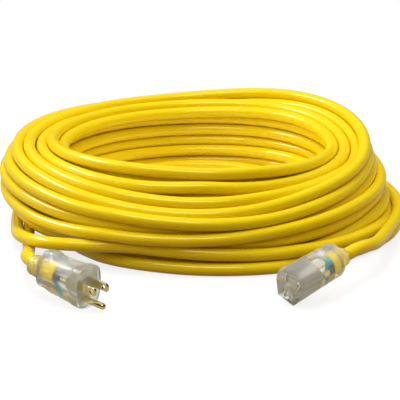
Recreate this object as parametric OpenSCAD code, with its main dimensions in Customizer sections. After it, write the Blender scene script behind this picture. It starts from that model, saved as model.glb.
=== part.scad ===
// Heavy-duty extension cord lying coiled on a floor, with a clear moulded plug and a clear moulded connector.
// Millimetres, +Z up, the floor at z = 0. The front, where both ends lie, is towards -Y.

/* [Cord] */
// Outside diameter of the cord's jacket
cord_d = 10.2; // [9:0.1:10.6]
// Diameter of one insulated conductor
wire_d = 3.8; // [3:0.1:4]
// Distance of each conductor from the middle of the cord
wire_ring_r = 2.3; // [2.2:0.05:2.5]

/* [Coil] */
// Radius to the outside of the coil at its widest loop
coil_r = 172; // [168:0.5:178]
// Width of the coil from its widest loop to the hole through it
coil_wall = 59; // [56:0.5:64]
// Height of the coil
coil_h = 80; // [76:0.5:88]
// Lean of the coil's outer wall from upright, in degrees
coil_lean = 15; // [10:0.5:17]
// Radius of the coil's upper edges, along the middle of the cord
coil_edge_r = 12; // [11:0.5:14]
// Height of the middle of the first outer loop, which lies over the plug's lead
first_loop_z = 9.6; // [9.4:0.1:11]
// Turns in the outer layer
winding_turns = 14.57; // [14:0.01:14.8]
// Direction in which the outer layer starts, in degrees from +X
winding_start = -20; // [-26:1:-14]
// Room between the outer layer and the core
core_clear = 0.5; // [0.4:0.1:1]
// Room round the plug's lead where it passes under the coil
lead_clear = 1.7; // [1.5:0.1:2.2]

/* [Plug] */
// Width of the plug's flange
flange_w = 25.6; // [24.8:0.2:28]
// Height of the plug's flange
flange_h = 32.2; // [31.8:0.2:34]
// Drop of the flange's middle under the cord's axis
flange_drop = 0.2; // [0:0.1:0.6]
// Length of the flange behind the prong face
flange_t = 5; // [4:0.5:7]
// Height of the rim that stands in front of the prong face
cup_depth = 2.5; // [2:0.5:4]
// Thickness of that rim
cup_wall = 1.7; // [1.4:0.1:2]
// Wall between the prong face and the prong carrier
plug_front_wall = 3; // [2:0.5:4]
// Distance from the prong face to the waist of the body
plug_waist = 28.5; // [27:0.5:30]
// Width of the body at its waist
plug_waist_w = 24.2; // [23.6:0.2:25.2]
// Distance from the prong face to the heel of the body
plug_heel = 34.5; // [33:0.5:36]
// Distance from the prong face to the end of the body
plug_body_len = 42.5; // [41:0.5:45]
// Width of the heel
plug_heel_w = 21.2; // [20.6:0.2:23]
// Distance from the prong face to the cut end of the jacket
plug_jacket_in = 30; // [29:0.5:31.5]
// Distance from the prong face to the end of the collar
plug_len = 56; // [54:0.5:59]
// Diameter of both collars
collar_d = 15; // [14:0.2:16.4]
// Thickness of the finger grip on top of the plug
grip_t = 9; // [7:0.5:11]
// Height of the finger grip over the cord's axis
grip_h = 17.5; // [16.5:0.5:19]

/* [Prongs] */
// Distance between the two blades
blade_pitch = 12.7; // [12.5:0.1:12.9]
// Height of a blade
blade_h = 6.35; // [6.2:0.05:6.5]
// Thickness of a blade
blade_t = 1.52; // [1.4:0.02:1.6]
// Length of a blade in front of the prong face
blade_len = 16.4; // [15.9:0.1:18.3]
// Diameter of the hole near a blade's tip
blade_hole_d = 3.2; // [2.6:0.1:4]
// Distance of that hole from the tip
blade_hole_in = 4.4; // [4:0.1:6]
// Diameter of the round ground pin
ground_d = 4.76; // [4.6:0.02:4.84]
// Length of the ground pin in front of the prong face
ground_len = 19.8; // [19.4:0.1:22]
// Diameter of the ground pin's shank in the moulding
ground_shank_d = 4.2; // [3.8:0.1:4.4]
// Distance from the blade line down to the ground pin
ground_drop = 11.9; // [11.7:0.1:12.1]
// Height of the plug's blade line over the cord's axis
plug_blade_lift = 1.5; // [1.3:0.1:1.7]

/* [Connector] */
// Radius of the connector's round back
conn_r = 13.2; // [13:0.1:14.6]
// Height of the round back's middle over the cord's axis
conn_lift = 0.8; // [0.4:0.1:1.2]
// Width of the flat base
base_w = 16; // [14:0.2:18]
// Drop of the flat base under the cord's axis
base_drop = 14.6; // [14.5:0.1:15.4]
// Distance from the mouth to the middle of the body
conn_mid = 26; // [25:0.5:28]
// Length of the whole body
conn_body_len = 48; // [47:0.5:52]
// Radius of the end of the body
conn_end_r = 12.4; // [12:0.1:12.8]
// Length from the mouth to the end of the collar
conn_len = 62.5; // [60:0.5:66]
// Wall between the mouth and the contact carrier
conn_front_wall = 3.5; // [3:0.1:4]
// Height of the connector's slot line over the cord's axis
slot_lift = 2; // [1.8:0.1:2.1]
// Width of the slots
slot_w = 2; // [1.8:0.1:2.4]
// Height of the live slot
hot_slot_h = 7; // [6.8:0.1:7.2]
// Height of the neutral slot
neutral_slot_h = 8.2; // [7.4:0.1:8.6]
// Diameter of the ground hole
ground_hole_d = 5.3; // [5.1:0.05:5.6]

/* [Contacts] */
// Thickness of a spring leaf
leaf_t = 0.7; // [0.5:0.05:0.8]
// Room between the two leaves of a blade contact
blade_grip = 1.2; // [1:0.05:1.4]
// Room between the two leaves of the ground contact
ground_grip = 4.2; // [4:0.05:4.5]
// Length of a spring leaf
leaf_len = 15; // [13:0.5:16]
// Height of a blade leaf
leaf_h = 6; // [5:0.1:6.4]
// Height of a ground leaf
ground_leaf_h = 4.4; // [4:0.1:4.8]
// Thickness of a contact's back plate
contact_back_t = 1; // [0.8:0.1:1.4]
// Diameter of the crimp barrels
crimp_d = 3.9; // [3.8:0.05:4.2]
// Length of the crimp barrels
crimp_len = 6; // [5:0.5:6.5]

/* [Lamp] */
// Diameter of the glow lamp
lamp_d = 4.4; // [4:0.1:4.6]
// Length of the glow lamp
lamp_len = 8; // [7:0.5:8.5]
// Diameter of the lamp's resistor
resistor_d = 1.8; // [1.6:0.1:2]
// Diameter of the lamp's leads
lead_d = 0.6; // [0.4:0.1:0.8]

/* [Fits] */
// Room between a moulding and what is set in it
fit_clear = 0.1; // [0.05:0.05:0.2]

/* [Hidden] */
$fn = 64;

// Colours
jacket_yellow = [0.96, 0.80, 0.03];
clear_tint = [0.86, 0.86, 0.84, 0.45];
pale_tint = [0.88, 0.87, 0.80];
brass_tint = [0.80, 0.66, 0.33];
hot_tint = [0.10, 0.10, 0.12];
neutral_tint = [0.92, 0.92, 0.90];
ground_tint = [0.10, 0.55, 0.50];
tin_tint = [0.70, 0.70, 0.70];
lamp_tint = [0.95, 0.55, 0.25];
resistor_tint = [0.75, 0.62, 0.42];

// Where the coil and the two ends lie
coil_at = [-0.7, 37.6, 0];

// A point by its direction from the coil's middle, its distance outside the widest loop and its height
function beside_coil(angle, out, z) =
    coil_at + [(coil_r + out) * cos(angle), (coil_r + out) * sin(angle), z];

plug_at = beside_coil(249.2, 73.4, 16.7);
plug_turn = [0, 5, -41];
connector_at = beside_coil(284.9, 63.8, 16.5);
connector_turn = [-21, 7, 225.5];

// Middle stretches of the two free leads, chosen by hand between the ends
connector_route = [beside_coil(-51.4, 31.2, 23.5), beside_coil(-45, 20, 19.5), beside_coil(-37.4, 8.9, 15.5),
    beside_coil(-29.6, -0.3, 12)];
plug_route = [beside_coil(229.4, 45.9, 19), beside_coil(225, 27.2, 12.5), beside_coil(220.2, 9.1, 6.5),
    beside_coil(214, -13, 5.2), beside_coil(205.9, -32.7, 5.2)];

// Sweeps
cord_r = cord_d / 2;
coil_sides = 6;
coil_rings = 24;
lead_sides = 10;
lead_steps = 3;
wire_sides = 10;
wire_steps = 6;

// Extra length of a cut, past the face it opens
through = 1;

// Room round the conductors and crimps in a moulding
chamber_clear = 0.2;

function unit(v) = v / norm(v);

// One ring of points square to a direction
function ring(p, dir, r, sides) =
    let (across = unit(cross(dir, [0, 0, 1])), up = cross(across, dir))
    [for (k = [0 : sides - 1]) p + r * (cos(360 * k / sides) * across + sin(360 * k / sides) * up)];

// Direction of a path at point i, with its end directions given
function heading(path, i, first_dir, last_dir) =
    i == 0 ? first_dir
    : i == len(path) - 1 ? last_dir
    : unit(unit(path[i + 1] - path[i]) + unit(path[i] - path[i - 1]));

function path_rings(path, r, sides, first_dir, last_dir) =
    [for (i = [0 : len(path) - 1]) ring(path[i], heading(path, i, first_dir, last_dir), r, sides)];

// Closed tube through a list of rings
module skin(rings) {
    sides = len(rings[0]);
    last = (len(rings) - 1) * sides;
    points = [for (r = rings) each r];
    walls = [for (i = [0 : len(rings) - 2]) for (k = [0 : sides - 1])
        let (a = i * sides + k, b = i * sides + (k + 1) % sides)
        each [[a, b, b + sides], [a, b + sides, a + sides]]];
    first_cap = [for (k = [1 : sides - 2]) [0, k + 1, k]];
    last_cap = [for (k = [1 : sides - 2]) [last, last + k, last + k + 1]];
    polyhedron(points, concat(walls, first_cap, last_cap));
}

module tube(path, d, sides, first_dir, last_dir) {
    skin(path_rings(path, d / 2, sides, first_dir, last_dir));
}

// Smooth curve through the points of a route
function blend(a, b, c, d, t) =
    0.5 * (2 * b + (c - a) * t + (2 * a - 5 * b + 4 * c - d) * t * t + (3 * b - a - 3 * c + d) * t * t * t);
function smooth(points, steps) =
    let (n = len(points))
    [for (i = [0 : n - 2]) for (k = [0 : steps - 1])
        blend(points[max(i - 1, 0)], points[i], points[i + 1], points[min(i + 2, n - 1)], k / steps),
    points[n - 1]];

// A point or a direction of an end piece, carried to where the piece lies
function turned(p, turn) =
    let (x = [p[0], p[1] * cos(turn[0]) - p[2] * sin(turn[0]), p[1] * sin(turn[0]) + p[2] * cos(turn[0])])
    let (y = [x[0] * cos(turn[1]) + x[2] * sin(turn[1]), x[1], x[2] * cos(turn[1]) - x[0] * sin(turn[1])])
    [y[0] * cos(turn[2]) - y[1] * sin(turn[2]), y[0] * sin(turn[2]) + y[1] * cos(turn[2]), y[2]];

module plug_place() {
    translate(plug_at)
        rotate(plug_turn)
            children();
}

module connector_place() {
    translate(connector_at)
        rotate(connector_turn)
            children();
}

// A flat outline in the Y-Z plane, drawn out along X
module along_x(x_from, x_to) {
    translate([x_from, 0, 0])
        rotate([90, 0, 90])
            linear_extrude(x_to - x_from)
                children();
}

module block(low, high) {
    translate(low)
        cube(high - low);
}

module rod(x_from, x_to, d, y, z) {
    translate([x_from, y, z])
        rotate([0, 90, 0])
            cylinder(d = d, h = x_to - x_from);
}

// The outer layer of the coil: up the outer wall, over the top and down the inner wall
edge_turn = 90 - coil_lean;
outer_r = coil_r - cord_r;
inner_r = coil_r - coil_wall + cord_r;
top_z = coil_h - cord_r;
wall_len = (top_z - first_loop_z - coil_edge_r * (1 - sin(coil_lean))) / cos(coil_lean);
outer_edge = [outer_r - wall_len * sin(coil_lean) - coil_edge_r * cos(coil_lean), top_z - coil_edge_r];
inner_edge = [inner_r + coil_edge_r, top_z - coil_edge_r];
outer_arc_len = coil_edge_r * edge_turn * PI / 180;
top_len = outer_edge[0] - inner_edge[0];
inner_arc_len = coil_edge_r * PI / 2;
floor_gap = 0.1;
inner_len = inner_edge[1] - cord_r - floor_gap;
s_wall = wall_len;
s_outer = s_wall + outer_arc_len;
s_top = s_outer + top_len;
s_inner = s_top + inner_arc_len;
winding_len = s_inner + inner_len;
winding_pitch = winding_len / winding_turns;

function polar(centre, r, a) = centre + r * [cos(a), sin(a)];

// Radius and height of the layer after a length s of its section
function layer(s) =
    s < s_wall ? [outer_r - s * sin(coil_lean), first_loop_z + s * cos(coil_lean)]
    : s < s_outer ? polar(outer_edge, coil_edge_r, coil_lean + (s - s_wall) / coil_edge_r * 180 / PI)
    : s < s_top ? [outer_edge[0] - (s - s_outer), top_z]
    : s < s_inner ? polar(inner_edge, coil_edge_r, 90 + (s - s_top) / coil_edge_r * 180 / PI)
    : [inner_r, inner_edge[1] - (s - s_inner)];

function winding_point(turns) =
    let (p = layer(turns * winding_pitch), a = winding_start + 360 * turns)
    coil_at + [p[0] * cos(a), p[0] * sin(a), p[1]];
function round_dir(turns) =
    let (a = winding_start + 360 * turns)
    [-sin(a), cos(a), 0];

steps_in_all = ceil(winding_turns * coil_rings);
winding_path = [for (i = [0 : steps_in_all]) winding_point(min(i / coil_rings, winding_turns))];
coil_in_dir = round_dir(0);
coil_out_dir = round_dir(winding_turns);
coil_in = winding_path[0] - cord_d * coil_in_dir;
coil_out = winding_path[steps_in_all] + cord_d * coil_out_dir;
coil_path = concat([coil_in], winding_path, [coil_out]);
coil_tube = path_rings(coil_path, cord_r, coil_sides, coil_in_dir, coil_out_dir);

// Least gap between neighbouring loops, on the points of the tube
coil_gap = min([for (i = [1 : len(coil_tube) - 1 - coil_rings]) for (j = [coil_rings - 1 : coil_rings + 1])
    if (i + j < len(coil_tube)) for (a = coil_tube[i]) for (b = coil_tube[i + j]) norm(a - b)]);
echo(least_gap_between_loops = coil_gap);  // cord_coil

module cord_coil() {
    color(jacket_yellow)
        skin(coil_tube);
}

// The hidden loops, as one plain ring that stands on the floor
sag = outer_r * (1 - cos(180 / coil_rings));
core_in = cord_r + sag + core_clear;
core_edge_r = coil_edge_r - core_in;
core_foot_r = outer_r + first_loop_z * tan(coil_lean) - core_in / cos(coil_lean);
core_inner_r = inner_r + cord_r + core_clear;

lead_from = plug_route[2];
lead_to = plug_route[4];

module cord_core() {
    color(jacket_yellow)
        difference() {
            translate(coil_at)
                rotate_extrude($fn = 96)
                    polygon([[core_inner_r, 0], [core_foot_r, 0],
                        polar(outer_edge, core_edge_r, coil_lean), polar(outer_edge, core_edge_r, 55),
                        polar(outer_edge, core_edge_r, 90), [inner_edge[0], outer_edge[1] + core_edge_r],
                        [core_inner_r, inner_edge[1]]]);
            lead_channel();
        }
}

// Straight channel under the coil for the plug's lead
module lead_channel() {
    run = lead_to - lead_from;
    wide = cord_d + 2 * lead_clear;
    over = 4 * cord_d;
    translate([lead_from[0], lead_from[1], 0])
        rotate([0, 0, atan2(run[1], run[0])])
            block([-over, -wide / 2, -through],
                [norm(run) + over, wide / 2, lead_from[2] + cord_r + core_clear]);
}

// Free lead from the connector to the coil
connector_exit = connector_at + turned([-conn_len, 0, 0], connector_turn);
connector_back = turned([-1, 0, 0], connector_turn);
connector_lead = concat([connector_exit, connector_exit + cord_d * connector_back], connector_route,
    [coil_in - cord_d * coil_in_dir, coil_in]);

module connector_tail() {
    color(jacket_yellow)
        tube(smooth(connector_lead, lead_steps), cord_d, lead_sides, connector_back, coil_in_dir);
}

// Free lead from the plug to the coil
plug_exit = plug_at + turned([-plug_len, 0, 0], plug_turn);
plug_back = turned([-1, 0, 0], plug_turn);
plug_lead = concat([plug_exit, plug_exit + cord_d * plug_back], plug_route,
    [coil_out + cord_d * coil_out_dir, coil_out]);

module plug_tail() {
    color(jacket_yellow)
        tube(smooth(plug_lead, lead_steps), cord_d, lead_sides, plug_back, -coil_out_dir);
}

// Places along the plug, measured back from the prong face
plug_carrier_len = 7;
plug_tang = 1;
plug_carrier_x = -plug_front_wall - plug_carrier_len;
plug_tang_x = plug_carrier_x - plug_tang;
plug_crimp_x = plug_tang_x - crimp_len;
plug_jacket_x = -plug_jacket_in;
prong_wall = 1.9;
prong_edge = 0.7;
plug_ground_z = plug_blade_lift - ground_drop;
carrier_half_w = blade_pitch / 2 + blade_t / 2 + prong_wall;
carrier_top = plug_blade_lift + blade_h / 2 + prong_edge;
carrier_mid = plug_blade_lift - blade_h / 2 - prong_edge;
carrier_low_half = ground_d / 2 + prong_wall;
carrier_low = plug_ground_z - ground_d / 2 - prong_edge;

// Outline with round top and bottom, between two heights
module oval(w, low, high) {
    translate([0, low + w / 2])
        circle(d = w);
    translate([0, high - w / 2])
        circle(d = w);
    translate([-w / 2, low + w / 2])
        square([w, high - low - w]);
}

flange_low = -flange_drop - flange_h / 2;
flange_high = -flange_drop + flange_h / 2;
shoulder_in = 0.4;
shoulder_up = 0.1;
shoulder_drop = 0.8;
waist_up = 1;
waist_drop = 1.5;
heel_up = 3.5;
heel_drop = 3.4;
waist_low = flange_low + waist_up;
waist_high = flange_high - waist_drop;
heel_low = flange_low + heel_up;
heel_high = flange_high - heel_drop;
slice = 0.4;

module plug_shape() {
    along_x(-flange_t, cup_depth)
        oval(flange_w, flange_low, flange_high);
    hull() {
        along_x(-flange_t - slice, -flange_t)
            oval(flange_w - 2 * shoulder_in, flange_low + shoulder_up, flange_high - shoulder_drop, $fn = 32);
        along_x(-plug_waist - slice, -plug_waist)
            oval(plug_waist_w, waist_low, waist_high, $fn = 32);
    }
    hull() {
        along_x(-plug_waist - slice, -plug_waist)
            oval(plug_waist_w, waist_low, waist_high, $fn = 32);
        along_x(-plug_body_len, -plug_heel)
            oval(plug_heel_w, heel_low, heel_high, $fn = 32);
    }
    finger_grip();
}

// Finger grip on top of the body, leaning towards the cord
grip_root_z = 4;
grip_foot = 4;
grip_peak = 2.5;
grip_back = 1.5;
grip_back_drop = 2.5;

module finger_grip() {
    translate([0, grip_t / 2, 0])
        rotate([90, 0, 0])
            linear_extrude(grip_t)
                polygon([[grip_foot - plug_waist, grip_root_z], [grip_foot - plug_waist, waist_high],
                    [-plug_waist - grip_peak, grip_h], [grip_back - plug_body_len, grip_h - grip_back_drop],
                    [-plug_body_len, heel_high - grip_back_drop], [-plug_body_len, grip_root_z]]);
}

module jacket_bore(x_from, x_to) {
    rod(x_from, x_to, cord_d + 2 * fit_clear, 0, 0);
}

module blade_slots(x_from, x_to) {
    half_w = blade_t / 2 + fit_clear;
    half_h = blade_h / 2 + fit_clear;
    for (side = [-1, 1])
        translate([0, side * blade_pitch / 2, plug_blade_lift])
            block([x_from, -half_w, -half_h], [x_to, half_w, half_h]);
}

// Wide at the blades and narrow at the ground pin
module prong_block(x_from, x_to, grow) {
    block([x_from, -carrier_half_w - grow, carrier_mid - grow], [x_to, carrier_half_w + grow, carrier_top + grow]);
    block([x_from, -carrier_low_half - grow, carrier_low - grow],
        [x_to, carrier_low_half + grow, carrier_mid + through]);
}

// Space where the plug's conductors spread from the jacket to their crimps
module plug_chamber() {
    half_w = blade_pitch / 2 + crimp_d / 2 + chamber_clear;
    low_half = wire_d / 2 + chamber_clear;
    lay_r = wire_ring_r + wire_d / 2 + chamber_clear;
    top = plug_blade_lift + blade_h / 2 + chamber_clear;
    block([plug_jacket_x, -half_w, -lay_r], [plug_carrier_x + through, half_w, top]);
    block([plug_jacket_x, -low_half, plug_ground_z - crimp_d / 2 - chamber_clear],
        [plug_carrier_x + through, low_half, -lay_r + through]);
}

module plug_body() {
    color(clear_tint)
        plug_place()
            difference() {
                plug_shape();
                along_x(0, cup_depth + through)
                    oval(flange_w - 2 * cup_wall, flange_low + cup_wall, flange_high - cup_wall);
                prong_block(plug_carrier_x, -plug_front_wall, fit_clear);
                plug_chamber();
                blade_slots(-plug_front_wall - through, through);
                rod(-plug_front_wall - through, through, ground_shank_d + 2 * fit_clear, 0, plug_ground_z);
                jacket_bore(-plug_body_len - through, plug_jacket_x + through);
            }
}

// Round sleeve where the cord enters a moulding, with a wider ring at its end
module collar(x_from, x_to) {
    lip = 2;
    step = 0.5;
    difference() {
        union() {
            rod(x_from, x_to, collar_d - 2 * step, 0, 0);
            rod(x_from, x_from + lip, collar_d, 0, 0);
            rod(x_to - 2 * lip, x_to, collar_d, 0, 0);
        }
        jacket_bore(x_from - through, x_to + through);
    }
}

module plug_collar() {
    color(clear_tint)
        plug_place()
            collar(-plug_len, -plug_body_len);
}

module plug_jacket_end() {
    color(jacket_yellow)
        plug_place()
            rod(-plug_len, plug_jacket_x, cord_d, 0, 0);
}

module prong_carrier() {
    color(pale_tint)
        plug_place()
            difference() {
                prong_block(plug_carrier_x, -plug_front_wall, 0);
                blade_slots(plug_carrier_x - through, 0);
                rod(plug_carrier_x - through, 0, ground_shank_d + 2 * fit_clear, 0, plug_ground_z);
            }
}

// Flat blade with a bevelled tip and a hole
module blade(side) {
    bevel = 1.6;
    low = plug_blade_lift - blade_h / 2;
    high = plug_blade_lift + blade_h / 2;
    color(brass_tint)
        plug_place()
            translate([0, side * blade_pitch / 2 + blade_t / 2, 0])
                rotate([90, 0, 0])
                    linear_extrude(blade_t)
                        difference() {
                            polygon([[plug_tang_x, low], [blade_len - bevel, low], [blade_len, low + bevel],
                                [blade_len, high - bevel], [blade_len - bevel, high], [plug_tang_x, high]]);
                            translate([blade_len - blade_hole_in, plug_blade_lift])
                                circle(d = blade_hole_d);
                        }
}

// Facing the prongs with the ground pin down, the live blade is on the left
module hot_blade() {
    blade(-1);
}

module neutral_blade() {
    blade(1);
}

module ground_pin() {
    color(brass_tint)
        plug_place()
            translate([0, 0, plug_ground_z]) {
                rod(plug_tang_x, 0, ground_shank_d, 0, 0);
                rod(0, ground_len - ground_d / 2, ground_d, 0, 0);
                translate([ground_len - ground_d / 2, 0, 0])
                    rotate([0, 90, 0])
                        rotate_extrude()
                            intersection() {
                                circle(d = ground_d);
                                square(ground_d);
                            }
            }
}

// Places of the three conductors in the end of the cord and at the prongs
hot_lay = wire_ring_r * [cos(30), sin(30)];
neutral_lay = wire_ring_r * [cos(150), sin(150)];
ground_lay = wire_ring_r * [cos(270), sin(270)];

// The same conductor as it lies at the cord's other end
function mirrored(lay) = [-lay[0], lay[1]];

plug_hot_seat = [-blade_pitch / 2, plug_blade_lift];
plug_neutral_seat = [blade_pitch / 2, plug_blade_lift];
plug_ground_seat = [0, plug_ground_z];

module crimp(x_from, seat) {
    color(brass_tint)
        rod(x_from, x_from + crimp_len, crimp_d, seat[0], seat[1]);
}

module plug_hot_crimp() {
    plug_place()
        crimp(plug_crimp_x, plug_hot_seat);
}

module plug_neutral_crimp() {
    plug_place()
        crimp(plug_crimp_x, plug_neutral_seat);
}

module plug_ground_crimp() {
    plug_place()
        crimp(plug_crimp_x, plug_ground_seat);
}

// Insulated conductor from the cut end of the jacket to its crimp
module conductor(x_from, lay, x_to, seat, tint) {
    run = x_to - x_from;
    lead_in = 0.08 * run;
    wire_points = [for (k = [0 : wire_steps])
        let (t = k / wire_steps, ease = t * t * (3 - 2 * t), place = lay + (seat - lay) * ease)
        [x_from + lead_in + t * (run - 2 * lead_in), place[0], place[1]]];
    color(tint)
        tube(concat([[x_from, lay[0], lay[1]]], wire_points, [[x_to, seat[0], seat[1]]]),
            wire_d, wire_sides, [1, 0, 0], [1, 0, 0]);
}

module plug_hot_wire() {
    plug_place()
        conductor(plug_jacket_x, mirrored(hot_lay), plug_crimp_x, plug_hot_seat, hot_tint);
}

module plug_neutral_wire() {
    plug_place()
        conductor(plug_jacket_x, mirrored(neutral_lay), plug_crimp_x, plug_neutral_seat, neutral_tint);
}

module plug_ground_wire() {
    plug_place()
        conductor(plug_jacket_x, ground_lay, plug_crimp_x, plug_ground_seat, ground_tint);
}

// Places along the connector, measured back from its mouth
leaf_tip_gap = 2.5;
carrier_back_t = 2;
tail_len = 3;
conn_wire_run = 9;
leaf_root_x = -conn_front_wall - leaf_tip_gap - leaf_len;
back_plate_x = leaf_root_x - fit_clear - contact_back_t;
conn_carrier_x = back_plate_x - carrier_back_t;
tail_x = conn_carrier_x - tail_len;
conn_crimp_x = tail_x - crimp_len;
conn_jacket_x = conn_crimp_x - conn_wire_run;
slot_y = blade_pitch / 2;
conn_ground_z = slot_lift - ground_drop;
tail_t = 0.8;
tail_h = 3.6;
ground_tail_up = 0.9;
ground_tail_z = conn_ground_z + ground_leaf_h / 2 + ground_tail_up;

// Rooms for the contacts in the carrier
leaf_room = 1.2;
leaf_edge = 0.7;
ground_leaf_edge = 0.3;
blade_room_half = blade_grip / 2 + leaf_t + leaf_room;
ground_room_half = ground_grip / 2 + leaf_t + leaf_room;
blade_room_h = leaf_h + 2 * leaf_edge;
ground_room_h = ground_leaf_h + 2 * ground_leaf_edge;
room_wall = 0.6;
upper_half_w = slot_y + blade_room_half + room_wall;
upper_low = slot_lift - blade_room_h / 2 - room_wall;
upper_high = slot_lift + blade_room_h / 2 + room_wall;
lower_half_w = ground_room_half + room_wall;
lower_low = conn_ground_z - ground_room_h / 2 - room_wall;

module carrier_shape(x_from, x_to, grow) {
    block([x_from, -upper_half_w - grow, upper_low - grow], [x_to, upper_half_w + grow, upper_high + grow]);
    block([x_from, -lower_half_w - grow, lower_low - grow], [x_to, lower_half_w + grow, upper_low + through]);
}

module rooms(x_from, x_to) {
    for (side = [-1, 1])
        block([x_from, side * slot_y - blade_room_half, slot_lift - blade_room_h / 2],
            [x_to, side * slot_y + blade_room_half, slot_lift + blade_room_h / 2]);
    block([x_from, -ground_room_half, conn_ground_z - ground_room_h / 2],
        [x_to, ground_room_half, conn_ground_z + ground_room_h / 2]);
}

// Passages in the back of the carrier for the contacts' tails
module tail_slots(x_from, x_to) {
    for (side = [-1, 1])
        block([x_from, side * slot_y - tail_t / 2 - fit_clear, slot_lift - tail_h / 2 - fit_clear],
            [x_to, side * slot_y + tail_t / 2 + fit_clear, slot_lift + tail_h / 2 + fit_clear]);
    block([x_from, -tail_t / 2 - fit_clear, ground_tail_z - tail_h / 2 - fit_clear],
        [x_to, tail_t / 2 + fit_clear, ground_tail_z + tail_h / 2 + fit_clear]);
}

// Round back with a flat base under it
module back_outline(r, w, drop) {
    translate([0, conn_lift])
        circle(r = r);
    translate([-w / 2, -drop])
        square([w, drop]);
}

mid_in = 0.2;
mid_base_w = 13.6;
mid_base_drop = 13.9;

module connector_shape() {
    hull() {
        along_x(-slice, 0)
            back_outline(conn_r, base_w, base_drop);
        along_x(-conn_mid - slice, -conn_mid)
            back_outline(conn_r - mid_in, mid_base_w, mid_base_drop);
    }
    hull() {
        along_x(-conn_mid - slice, -conn_mid)
            back_outline(conn_r - mid_in, mid_base_w, mid_base_drop);
        along_x(-conn_body_len, -conn_body_len + slice)
            translate([0, conn_lift])
                circle(r = conn_end_r);
    }
}

// Space behind the carrier where the conductors spread to their crimps
lamp_lift = 1.65;
lamp_z = slot_lift + lamp_lift;
chamber_half_w = slot_y + crimp_d / 2 + chamber_clear;
chamber_top = lamp_z + lamp_d / 2 + fit_clear;
chamber_mid = -3.5;
chamber_low_half = 4.6;
chamber_low = ground_tail_z - crimp_d / 2 - chamber_clear;

module connector_body() {
    color(clear_tint)
        connector_place()
            difference() {
                connector_shape();
                carrier_shape(conn_carrier_x, -conn_front_wall, fit_clear);
                block([conn_jacket_x, -chamber_half_w, chamber_mid],
                    [conn_carrier_x + through, chamber_half_w, chamber_top]);
                block([conn_jacket_x, -chamber_low_half, chamber_low],
                    [conn_carrier_x + through, chamber_low_half, chamber_mid + through]);
                block([-conn_front_wall - through, slot_y - slot_w / 2, slot_lift - hot_slot_h / 2],
                    [through, slot_y + slot_w / 2, slot_lift + hot_slot_h / 2]);
                block([-conn_front_wall - through, -slot_y - slot_w / 2, slot_lift - neutral_slot_h / 2],
                    [through, -slot_y + slot_w / 2, slot_lift + neutral_slot_h / 2]);
                rod(-conn_front_wall - through, through, ground_hole_d, 0, conn_ground_z);
                jacket_bore(-conn_body_len - through, conn_jacket_x + through);
            }
}

module connector_collar() {
    color(clear_tint)
        connector_place()
            collar(-conn_len, -conn_body_len);
}

module connector_jacket_end() {
    color(jacket_yellow)
        connector_place()
            rod(-conn_len, conn_jacket_x, cord_d, 0, 0);
}

module contact_carrier() {
    color(pale_tint)
        connector_place()
            difference() {
                carrier_shape(conn_carrier_x, -conn_front_wall, 0);
                rooms(back_plate_x, 0);
                tail_slots(conn_carrier_x - through, back_plate_x + through);
            }
}

// Back plate of a blade contact, with its tail
module blade_contact(side) {
    half = blade_room_half - fit_clear;
    color(brass_tint)
        connector_place()
            translate([0, side * slot_y, slot_lift]) {
                block([back_plate_x, -half, -leaf_h / 2], [back_plate_x + contact_back_t, half, leaf_h / 2]);
                block([tail_x, -tail_t / 2, -tail_h / 2], [back_plate_x, tail_t / 2, tail_h / 2]);
            }
}

module hot_contact() {
    blade_contact(1);
}

module neutral_contact() {
    blade_contact(-1);
}

module ground_contact() {
    half = ground_room_half - fit_clear;
    color(brass_tint)
        connector_place() {
            block([back_plate_x, -half, conn_ground_z - ground_leaf_h / 2],
                [back_plate_x + contact_back_t, half, conn_ground_z + ground_leaf_h / 2]);
            block([tail_x, -tail_t / 2, ground_tail_z - tail_h / 2],
                [back_plate_x + contact_back_t, tail_t / 2, ground_tail_z + tail_h / 2]);
        }
}

// Spring leaf beside a prong, with its tip turned outwards
module leaf(side, grip, h) {
    flare = 0.4;
    tip = 2;
    color(brass_tint)
        translate([leaf_root_x, 0, -h / 2])
            linear_extrude(h)
                polygon([[0, side * grip / 2], [leaf_len - tip, side * grip / 2],
                    [leaf_len, side * (grip / 2 + flare)], [leaf_len, side * (grip / 2 + leaf_t + flare)],
                    [leaf_len - tip, side * (grip / 2 + leaf_t)], [0, side * (grip / 2 + leaf_t)]]);
}

module blade_leaf(contact_side, side) {
    connector_place()
        translate([0, contact_side * slot_y, slot_lift])
            leaf(side, blade_grip, leaf_h);
}

module ground_leaf(side) {
    connector_place()
        translate([0, 0, conn_ground_z])
            leaf(side, ground_grip, ground_leaf_h);
}

module hot_leaf_left() {
    blade_leaf(1, 1);
}

module hot_leaf_right() {
    blade_leaf(1, -1);
}

module neutral_leaf_left() {
    blade_leaf(-1, 1);
}

module neutral_leaf_right() {
    blade_leaf(-1, -1);
}

module ground_leaf_left() {
    ground_leaf(1);
}

module ground_leaf_right() {
    ground_leaf(-1);
}

conn_hot_seat = [slot_y, slot_lift];
conn_neutral_seat = [-slot_y, slot_lift];
conn_ground_seat = [0, ground_tail_z];

module connector_hot_crimp() {
    connector_place()
        crimp(conn_crimp_x, conn_hot_seat);
}

module connector_neutral_crimp() {
    connector_place()
        crimp(conn_crimp_x, conn_neutral_seat);
}

module connector_ground_crimp() {
    connector_place()
        crimp(conn_crimp_x, conn_ground_seat);
}

module connector_hot_wire() {
    connector_place()
        conductor(conn_jacket_x, hot_lay, conn_crimp_x, conn_hot_seat, hot_tint);
}

module connector_neutral_wire() {
    connector_place()
        conductor(conn_jacket_x, neutral_lay, conn_crimp_x, conn_neutral_seat, neutral_tint);
}

module connector_ground_wire() {
    connector_place()
        conductor(conn_jacket_x, ground_lay, conn_crimp_x, conn_ground_seat, ground_tint);
}

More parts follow.
